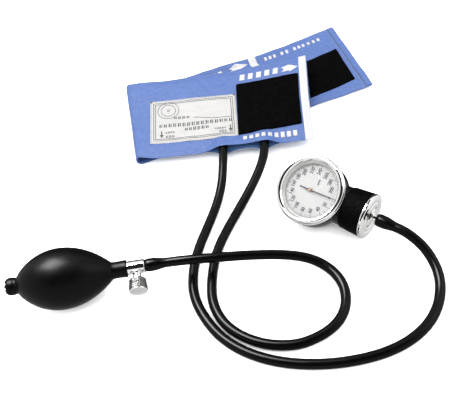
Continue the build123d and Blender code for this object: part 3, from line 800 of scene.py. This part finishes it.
def line_piece(name, lines, half, surface, lift, material):
    """Printed lines of a given half width, in one piece."""
    points = []
    faces = []
    for line in lines:
        faces += grid_faces(len(line), 2, first=len(points))
        for index, place in enumerate(line):
            before = Vector(line[max(index - 1, 0)])
            after = Vector(line[min(index + 1, len(line) - 1)])
            ahead = (after - before).normalized()
            side = Vector((-ahead.y, ahead.x)) * half
            for sign in (1, -1):
                local = Vector(place) + side * sign
                points.append(surface(local.x, local.y, lift))
    made = add_mesh(name, points, faces, material)
    thicken(made, 0.06, 1.0)
    return made


def straight(start, stop):
    """Places along a straight line."""
    pitch = 1.5
    length = (Vector(stop) - Vector(start)).length
    count = max(int(length / pitch) + 1, 2)
    return [tuple(Vector(start).lerp(Vector(stop), index / (count - 1))) for index in range(count)]


def stitches(name, line, surface, material, pitch=2.6, length=1.9, width=0.42, lift=0.1):
    """Sewn stitches along a line, each a low ridge."""
    points = []
    faces = []
    travelled = 0.0
    for start, stop in zip(line, line[1:]):
        here = Vector(start)
        there = Vector(stop)
        span = (there - here).length
        ahead = (there - here).normalized()
        side = Vector((-ahead.y, ahead.x))
        while travelled + length < span:
            base = len(points)
            first = here + ahead * travelled
            for share, half, rise in ((0, 0.25, 0), (0.2, 1, 0.16), (0.8, 1, 0.16), (1, 0.25, 0)):
                for side_share, rise_share in ((-0.5, 0), (0, 1), (0.5, 0)):
                    local = first + ahead * length * share + side * width * side_share * half
                    points.append(surface(local.x, local.y, lift + rise * rise_share))
            faces += grid_faces(4, 3, first=base)
            travelled += pitch
        travelled -= span
    return add_mesh(name, points, faces, material)


LABEL_MIDDLE = (55.0, -8.5)
LABEL_SIZE = (87.0, 57.0)
LOOP_MIDDLE = (132.0, -1.5)
LOOP_SIZE = (60.5, 71.0)
HOOK_MIDDLE = (191.0, -15.5)
HOOK_SIZE = (58.0, 55.0)
INK_LIFT = 0.24

# Each section's surface, the lift of its print and its body
FRONT = (front_over, 0.12, "root")
TAIL = (tail_over, 0.15, "tail")


def puckered(a, b, lift):
    """A place over the front section, creased as the label is."""
    crease = 0.5 * ripple(a, b * 0.5, 13.0, 51.0) + 0.15 * ripple(a, b, 5.0, 53.0)
    return front_over(a, b, lift + crease + 0.35)


def loop_ribs(a, b):
    """The height of the loop pile's fine rows."""
    row_pitch = 2.3
    return 0.07 * math.sin(2 * math.pi * b / row_pitch + 0.6 * ripple(a, b, 20.0, 60.0))


label_over = fitted(puckered, LABEL_MIDDLE, LABEL_SIZE,
                    ((13.3, 23.1), (100.1, 17.0), (102.1, -42.2), (17.2, -38.9)))
loop_over = fitted(front_over, LOOP_MIDDLE, LOOP_SIZE,
                   ((101.1, 29.9), (162.4, 29.7), (162.0, -37.0), (102.0, -41.7)))
hook_over = fitted(tail_over, HOOK_MIDDLE, HOOK_SIZE,
                   ((187.6, 11.6), (222.0, 14.2), (220.4, -40.2), (169.4, -45.0)))


def label_corners(inset):
    """The corners of a rectangle inside the label's border."""
    half_length, half_width = LABEL_SIZE[0] / 2 - inset, LABEL_SIZE[1] / 2 - inset
    return [(LABEL_MIDDLE[0] + along * half_length, LABEL_MIDDLE[1] + aside * half_width)
            for along, aside in ((-1, -1), (1, -1), (1, 1), (-1, 1))]


def ink_lines(name, lines, half):
    settle(line_piece(name, lines, half, label_over, INK_LIFT, label_ink), "white_label")


def ink_shape(name, outline):
    settle(decal(name, label_over, outline, INK_LIFT, label_ink), "white_label")


def add_label():
    """The label with its border, ring, arrows and rows of plain bars."""
    label = pad("name_label_cloth", label_over, LABEL_MIDDLE, LABEL_SIZE, -0.25, 0.4, label_cloth,
                (88, 58), edge=0.8)
    settle(label, "white_label", "name_label")
    lines = []
    for inset in (3.4, 5.2):
        corners = label_corners(inset)
        lines += [straight(start, stop) for start, stop in zip(corners, corners[1:] + corners[:1])]
    lines.append(straight((55.0, -6.4), (72.0, -9.8)) + straight((73.5, -10.0), (93.0, -10.8)))
    ink_lines("label_lines", lines, 0.27)
    rings = []
    for radius in (10.8, 7.4, 1.2):
        rings.append([(29.8 + radius * math.cos(turn), 5.6 + radius * math.sin(turn))
                      for turn in spaced(0, 2 * math.pi, 48)])
    ink_lines("label_ring", rings, 0.25)
    for index, a in enumerate((22.6, 91.2)):
        ink_lines("label_arrow_shaft_%d" % index, [straight((a, -21.5), (a, -27.0))], 0.5)
        ink_shape("label_arrow_head_%d" % index, [(a - 1.9, -26.0), (a, -30.5), (a + 1.9, -26.0)])
    half = 0.9
    for index, (a, b) in enumerate(reversed(label_corners(1.3)[2:])):
        ink_shape("label_corner_%d" % index, [(a - half, b - half), (a + half, b - half),
                                              (a + half, b + half), (a - half, b + half)])
    rows = ((35.5, 52.5, -5.3, 4, 3.4), (20.6, 95.0, -15.0, 16, 4.8), (46.3, 71.3, -21.6, 6, 4.4),
            (26.8, 36.6, -23.8, 4, 2.6), (27.2, 36.4, -29.0, 3, 3.0), (76.0, 87.8, -24.6, 5, 2.4),
            (80.3, 88.0, -28.8, 3, 3.0))
    for index, (first, last, b, number, tall) in enumerate(rows):
        pitch = (last - first) / number
        for step in range(number):
            size = tall * (0.36 + 0.14 * math.sin(math.pi * (step + 0.5) / number))
            for side, (share, wide) in enumerate(((0.0, 0.26), (0.44, 0.18))):
                a = first + step * pitch + pitch * (share + wide / 2)
                ink_lines("label_mark_%d_%d" % (index, 2 * step + side),
                          [straight((a, b - size), (a, b + size))], pitch * wide / 2)


def arrow(name, section, a, b, length):
    """A broad printed arrow that points away from the fold."""
    surface, lift, body = section
    corners = [(0, 0.19), (0.16, 0), (0, -0.2), (0.5, -0.17), (0.46, -0.32), (1.0, 0.02), (0.42, 0.33),
               (0.48, 0.2)]
    outline = [(a + length * along, b + length * aside) for along, aside in corners]
    settle(decal(name, surface, outline, lift, white_print, cuts=4), "white_print", body=body)


def bars(name, section, starts, corners, cuts):
    """A row of printed bars. Their corners count from each bar's start."""
    surface, lift, body = section
    for number, start in enumerate(starts):
        outline = [(start + along, b) for along, b in corners]
        bar = decal("%s_%d" % (name, number), surface, outline, lift, white_print, cuts)
        settle(bar, "white_print", body=body)


def stitch_rows(name, section, rows):
    surface, _, body = section
    for index, line in enumerate(rows):
        row = stitches("%s_%d" % (name, index), line, surface, thread_blue)
        settle(row, "white_print", body=body)


def dress_front():
    """Loop pad, stripe, arrow, bars and stitches on the front section."""
    loop = pad("loop_pad_pile", loop_over, LOOP_MIDDLE, LOOP_SIZE, 0.0, 2.0, loop_pile, (50, 180),
               edge=1.6, relief=loop_ribs)
    settle(loop, "black_loop", "loop_pad")
    width = 7.5
    stripe = pad("index_stripe", front_over, (FRONT_LENGTH - width / 2, 0.0), (width, 112.6), 0.05, 0.45,
                 white_print, (8, 80), edge=0.5)
    settle(stripe, "white_print", "index_bar")
    arrow("index_arrow", FRONT, 146.6, 39.6, 16.4)
    bars("index_bar", FRONT, [104.6 + number * 8.3 for number in range(5)],
         ((0, 35.6), (5.0, 35.4), (5.8, 44.0), (0.8, 44.2)), 3)
    bars("size_bar", FRONT, [106.5 + number * 5.8 for number in range(9)],
         ((0, -50.3), (3.7, -50.3), (3.7, -44.2), (0, -44.2)), 2)
    stitch_rows("edge_stitches", FRONT, ([(4.0, 52.5), (160.0, 52.5)], [(6.0, -52.5), (52.0, -52.5)]))
    around = label_corners(1.3)
    row = stitches("label_stitches", around + around[:1], label_over, label_ink, pitch=3.4, length=2.0,
                   width=0.3, lift=0.2)
    settle(row, "white_label")


def dress_tail():
    """Hook pad, stripe, arrow, bars, hem and stitches on the tail."""
    hook = pad("hook_pad_tape", hook_over, HOOK_MIDDLE, HOOK_SIZE, 0.0, 1.4, hook_pile, (60, 60), edge=1.0)
    settle(hook, "black_hook", "hook_pad", body="tail")
    stripe = pad("range_stripe", tail_over, (137.0, 42.0), (8.0, 24.0), 0.05, 0.4, white_print, (8, 26),
                 edge=0.5)
    settle(stripe, "white_print", "range_bar", body="tail")
    arrow("range_arrow", TAIL, 111.0, 42.5, 20.0)
    mark_starts = (149.5, 154.5, 159.5, 168.0, 173.5, 182.5, 187.5, 192.5, 198.5, 204.5, 210.0)
    bars("range_mark", TAIL, mark_starts, ((0, 39.0), (2.9, 39.0), (2.9, 44.6), (0, 44.6)), 2)
    bars("range_bar", TAIL, [78.0 + number * 7.0 for number in range(4)],
         ((0, 41.0), (4.2, 41.0), (4.2, 47.5), (0, 47.5)), 3)
    hem = pad("tail_hem", tail_over, (229.6, 0.0), (6.4, 111.4), -0.05, 0.75, nylon, (9, 90), edge=1.0)
    settle(hem, "blue_nylon", body="tail")
    # A dark line along the hem's seam: painted shade of the seam's groove
    seam_line = straight((226.0, -55.5), (226.0, 55.5))
    seam = line_piece("tail_seam_shade", [seam_line], 0.35, tail_over, 0.06, seam_shade)
    settle(seam, "blue_nylon", body="tail")
    stitch_rows("tail_stitches", TAIL, ([(224.6, -53.0), (224.6, 53.0)], [(60.0, 52.5), (226.0, 52.5)],
                                        [(60.0, -52.5), (226.0, -52.5)]))


add_label()
dress_front()
dress_tail()


# Bulb
def add_bulb():
    """The rubber bulb in one moulded piece with its two necks."""
    widest = 24.9
    outside = []
    for degrees in range(174, 5, -4):
        turn = math.radians(degrees)
        reach, neck, taper = (35.0, 6.5, 1.6) if degrees > 90 else (41.0, 6.8, 1.9)
        radius = neck + (widest - neck) * math.sin(turn) ** taper
        outside.append((reach * math.cos(turn), radius))
    left = [(-42.0, 4.75), (-43.7, 4.8), (-43.9, 5.4), (-43.6, 6.3), (-42.6, 7.0), (-41.0, 7.3),
            (-38.9, 7.3), (-37.3, 6.9), (-36.0, 6.6)]
    right = [(42.6, 6.75), (45.0, 6.75), (48.0, 6.8), (50.4, 6.9), (51.8, 7.05), (52.6, 7.15), (53.0, 6.9),
             (53.0, 5.2), (50.0, 4.95)]
    bulb = lathe("bulb", left + outside + right, bulb_frame, bulb_rubber)
    refine(bulb, 1, 2)
    settle(bulb, "black_rubber", "squeeze_bulb")


def add_knob():
    """The release knob's core and its two knurled bands."""
    core = [(1.8, 1.5), (1.8, 3.9), (0.0, 3.9), (0.0, 5.2), (0.5, 5.9), (1.1, 6.0), (4.8, 6.1), (5.9, 6.2),
            (9.8, 6.7), (10.0, 7.3), (10.8, 7.2), (11.15, 6.7), (11.2, 6.2), (11.05, 5.9), (11.05, 0.02)]
    core_frame = port_neck_frame @ Matrix.Translation((10.9, 0, 0))
    count = 108
    knob = lathe("release_knob_core", core, core_frame, chrome, count=count)
    settle(knob, "chrome", "release_knob", body="knob")
    ridges = 18
    twist = 2.6
    ridge_height = 0.5
    foot_radius = 5.6

    def knurl(along, step):
        turn = ridges * (2 * math.pi * step / count)
        return ridge_height * (math.cos(turn + along * twist) * math.cos(turn - along * twist))

    bands = ((1.0, 4.9, 6.4, 6.8), (5.8, 9.8, 6.95, 7.25))
    for index, (low, high, near_radius, far_radius) in enumerate(bands):
        rings = [(mix(low, high, share), mix(near_radius, far_radius, share), 1)
                 for share in spaced(0.0, 1.0, 15)]
        rings = [(low, foot_radius, 0), *rings, (high, foot_radius, 0)]
        # Each band takes the darkened chrome, painted shade for its grooves
        band = lathe("knurled_band_%d" % index, rings, core_frame, knurl_shaded_metal, count=count, relief=knurl)
        settle(band, "chrome", body="knob")


def add_valve():
    """The release valve's tube and side neck, and the air inlet's notched flange."""
    body = [(53.05, 2.0), (53.05, 5.2), (53.4, 5.6), (66.9, 5.6), (67.3, 5.2), (67.3, 2.0)]
    valve = lathe("valve_tube", rounded(body, 0.3), bulb_frame, chrome)
    side = [(5.2, 2.0), (5.2, 4.4), (5.7, 3.7), (6.6, 3.2), (9.15, 3.1), (9.15, 2.0)]
    neck = lathe("valve_side_neck", rounded(side, 0.4), port_neck_frame, chrome)
    rings = ((-43.0, 1.3, 0), (-43.95, 4.7, 0), (-43.98, 5.2, 0), (-44.0, 5.4, 1), (-44.9, 5.4, 1),
             (-45.0, 5.0, 1), (-45.0, 4.0, 0), (-43.6, 3.9, 0), (-43.6, 1.3, 0))
    notch_depth = 1.1
    steps_per_notch = 16
    notch_steps = 7

    def notches(_, step):
        return -notch_depth if step % steps_per_notch < notch_steps else 0.0

    inlet = lathe("inlet_flange", rings, bulb_frame, chrome, close=True, relief=notches, smooth=False)
    settle(valve, "chrome", "valve_body")
    settle(neck, "chrome")
    settle(inlet, "chrome", "inlet_valve_body")


add_bulb()
add_knob()
add_valve()


# Gauge head
DIAL_TOP = -6.6
DEGREES_PER_UNIT = -1.125


def dial_place(radius, value, height):
    """A point on the dial at a scale value."""
    turn = math.radians(DEGREES_PER_UNIT * value)
    return Vector((radius * math.cos(turn), radius * math.sin(turn), height))


def add_dial_print():
    """Ticks, numbers and the rest bracket, printed on the dial."""
    tick_end = 22.4
    top = DIAL_TOP + 0.06
    points = []
    faces = []
    for value in range(0, 301, 2):
        low, half = (21.4, 0.05)
        if value % 10 == 0:
            low, half = (20.3, 0.15)
        if value % 20 == 0:
            low, half = (19.7, 0.2)
        base = len(points)
        side = dial_place(half, value, 0)
        side = Vector((-side.y, side.x, 0))
        for radius in (low, tick_end):
            for sign in (-1, 1):
                points.append(gauge_frame @ (dial_place(radius, value, top) + side * sign))
        faces.append((base, base + 1, base + 3, base + 2))
    half_line = 0.07
    for radius, first, last, steps in ((22.5, 0, 300, 120), (22.0, -3.5, 3.5, 10)):
        base = len(points)
        for value in spaced(first, last, steps):
            for out in (-half_line, half_line):
                points.append(gauge_frame @ dial_place(radius + out, value, top))
        faces += grid_faces(steps, 2, first=base)
    ticks = add_mesh("dial_ticks", points, faces, dial_ink, smooth=False)
    thicken(ticks, 0.04, -1.0)
    settle(ticks, "black_pointer")
    along = gauge_frame.to_3x3() @ Vector((0, 1, 0))
    up = gauge_frame.to_3x3() @ Vector((-1, 0, 0))
    top = DIAL_TOP + 0.05
    narrowing = 0.84
    words = [(str(value), dial_place(17.0, value, top), 4.4) for value in range(20, 301, 20)]
    words.append(("mmHg", Vector((3.0, 8.5, top)), 2.2))
    # Three prints of each word, a little apart, make its strokes bold
    copies = [(*word, shift) for word in words for shift in (-0.1, 0.0, 0.1)]
    for text, place, size, shift in copies:
        curve = bpy.data.curves.new("dial_" + text, "FONT")
        curve.body = text
        curve.size = size * MM
        curve.align_x = "CENTER"
        curve.align_y = "CENTER"
        curve.extrude = 0.02 * MM
        curve.offset = 0.07 * MM
        made = add_object("dial_" + text, curve)
        matrix = Matrix((along * narrowing, up, dial_normal)).transposed().to_4x4()
        matrix.translation = (gauge_frame @ place + along * shift) * MM
        made.matrix_world = matrix
        curve.materials.append(dial_ink)
        settle(made, "black_pointer")


def add_pointer():
    """The painted needle with its small diamond, on the pointer's shaft."""
    stations = ((-10.3, 0.3), (-10.0, 0.7), (-1.5, 0.6), (-1.1, 1.1), (0.0, 1.5), (1.1, 1.1), (1.5, 0.55),
                (16.6, 0.4), (17.3, 1.0), (18.6, 0.38), (21.4, 0.12))
    low = -4.6
    high = -4.3
    points = []
    for along, half in stations:
        for side, height in ((-half, low), (half, low), (half, high), (-half, high)):
            points.append(gauge_frame @ Vector((along, side, height)))
    last = len(points) - 4
    faces = grid_faces(len(stations), 4, close_v=True)
    faces += [(0, 1, 2, 3), (last + 3, last + 2, last + 1, last)]
    needle = add_mesh("pointer_needle", points, faces, pointer_paint, smooth=False)
    settle(needle, "black_pointer", "pointer", body="pointer_shaft")


def add_bezel():
    """The polished ring round the window, rolled over the case in two steps."""
    corners = [(-4.8, 27.6), (-5.0, 28.6), (-4.7, 29.4), (-3.3, 29.4), (-3.0, 28.9), (-2.7, 28.9),
               (-1.6, 29.2), (-0.5, 28.8), (0.4, 27.6), (0.5, 26.3), (-0.1, 25.1), (-1.0, 24.3),
               (-1.4, 24.0), (-1.4, 24.9), (-1.4, 27.3)]
    bezel = lathe("bezel_ring", rounded(corners, 0.4), gauge_frame, chrome, count=160, axis="Z")
    settle(bezel, "chrome", "bezel")


def add_barrel_end():
    """The grained cover, the end cap with black marks painted as the shade of its slots and spanner holes,
    the nipple and the case's thin shell.
    """
    middle = gauge_frame @ Matrix.Translation((0, 0, -20.5))
    count = 128
    corners = [(29.6, 16.7), (29.6, 17.2), (30.2, 17.6), (46.8, 18.7), (47.5, 18.3), (47.5, 16.7)]
    cover = lathe("barrel_cover", rounded(corners, 0.5), middle, grain_cover, count=count)
    rim = [(47.5, 2.0), (47.5, 17.9), (47.8, 18.6), (48.3, 18.9), (50.1, 18.9), (50.7, 18.5), (50.9, 17.8)]
    face = [(51.25, 16.0), (51.5, 13.3), (51.2, 13.0), (51.2, 12.4), (51.6, 12.0), (51.8, 9.8), (51.5, 9.5),
            (51.6, 6.4), (52.2, 6.0), (52.2, 2.0)]
    cap = lathe("end_cap", rim + face, middle, chrome, count=count, close=True)
    # The rim's slots are thin black strips of painted shade; the rim itself is not cut
    slot_count = 9
    slot_steps = 7
    slot_radius = 18.93
    points = []
    faces = []
    for number in range(slot_count):
        for step in range(slot_steps):
            turn = math.radians(360 / slot_count * number + 14 + 3.4 * step)
            for along in (48.75, 49.85):
                points.append(middle @ turned(along, slot_radius, turn))
        faces += grid_faces(slot_steps, 2, first=2 * slot_steps * number)
    dark = [add_mesh("cap_slot_shade", points, faces, case_paint)]
    # The two spanner holes are black discs of painted shade; the face itself has no holes
    hole = [(0, 0.02), (0, 0.9), (0.06, 0.9), (0.06, 0.02)]
    for side in (-1, 1):
        centre = middle @ Matrix.Translation((51.56, 8.0 * side, 0))
        dark.append(lathe("cap_hole_shade_%d" % side, hole, centre, case_paint, count=24, close=True))
    steps = [(52.2, 1.6), (52.2, 5.0), (53.2, 5.0), (53.5, 4.7), (53.5, 3.3), (58.0, 3.1), (58.0, 1.6)]
    nipple = lathe("cap_nipple", rounded(steps, 0.3), middle, chrome, count=64)
    bowl = [(-5.1, 27.25), (-5.1, 28.1), (-5.6, 28.35), (-21.5, 28.3), (-25.4, 27.2), (-27.4, 25.4),
            (-28.5, 23.6), (-28.3, 23.4), (-27.0, 25.1), (-25.2, 26.6), (-23.0, 27.25)]
    dark.append(lathe("case_shell", bowl, gauge_frame, case_paint, count=count, close=True, axis="Z"))
    settle(cover, "grained_cover", "barrel_sleeve")
    settle(cap, "chrome", "barrel_cap")
    settle(nipple, "chrome", "hose_nipple")
    for piece in dark:
        settle(piece, "black_paint")


add_dial_print()
add_pointer()
add_bezel()
add_barrel_end()


# Floor and lights
def add_stage():
    """A pale floor and soft lights."""
    floor_material = make_plain("floor", (0.95, 0.95, 0.95), 0.7, 0.8, depth=0.0, Specular_IOR_Level=0.1)
    span = 3000.0
    corners = [(-span, -span, 0), (span, -span, 0), (span, span, 0), (-span, span, 0)]
    floor = add_mesh("floor", corners, [(0, 1, 2, 3)], floor_material, smooth=False)
    floor.visible_glossy = False
    world = bpy.data.worlds.new("world")
    bpy.context.scene.world = world
    world.use_nodes = True
    background = world.node_tree.nodes["Background"]
    background.inputs["Color"].default_value = (1, 1, 1, 1)
    direction = add_node(world, "TexCoord")
    # The surroundings are white, but darken overhead, below and behind
    dark_zones = (((0.0, -0.42, 0.91), 0.67, 0.84, 0.02), ((0.0, 0.0, -1.0), 0.45, 1.0, 0.6),
                  ((0.1, 0.95, -0.3), 0.62, 0.82, 0.08))
    strength = None
    for way, start, stop, low in dark_zones:
        toward = add_node(world, "VectorMath")
        toward.operation = "DOT_PRODUCT"
        toward.inputs[1].default_value = way
        link(world, direction.outputs["Generated"], toward.inputs[0])
        zone = spread(world, toward.outputs["Value"], 1.0, low, start, stop, "SMOOTHSTEP")
        if strength is None:
            strength = zone
            continue
        product = add_node(world, "Math")
        product.operation = "MULTIPLY"
        link(world, strength, product.inputs[0])
        link(world, zone, product.inputs[1])
        strength = product.outputs["Value"]
    link(world, strength, background.inputs["Strength"])
    target = Vector((0.0, -0.05, 0.0))
    # Name, direction, distance, size, power, and whether it lights only gloss or only diffuse
    lights = [
        ("key", (-0.3, 0.28, 0.88), 1.3, 0.74, 72.0, True),
        ("fill", (0.75, -0.05, 0.66), 1.5, 0.9, 4.0, True),
        ("soft_top", (0.0, 0.0, 1.0), 1.6, 2.0, 22.0, False),
    ]
    sides = (("back", 0.0, 0.75), ("front", 0.0, -0.75), ("left", -0.75, 0.0), ("right", 0.75, 0.0))
    lights += [("soft_" + name, (x, y, 0.66), 1.6, 2.0, 29.0, False) for name, x, y in sides]
    for name, way, distance, size, power, for_gloss in lights:
        data = bpy.data.lights.new(name, "AREA")
        data.shape = "SQUARE"
        data.size = size
        data.energy = power
        light = add_object(name, data)
        light.visible_glossy = for_gloss
        light.visible_diffuse = not for_gloss
        place = target + Vector(way).normalized() * distance
        light.matrix_world = (target - place).to_track_quat("-Z", "Y").to_matrix().to_4x4()
        light.matrix_world.translation = place
    bpy.context.scene.view_settings.view_transform = "Standard"


add_stage()
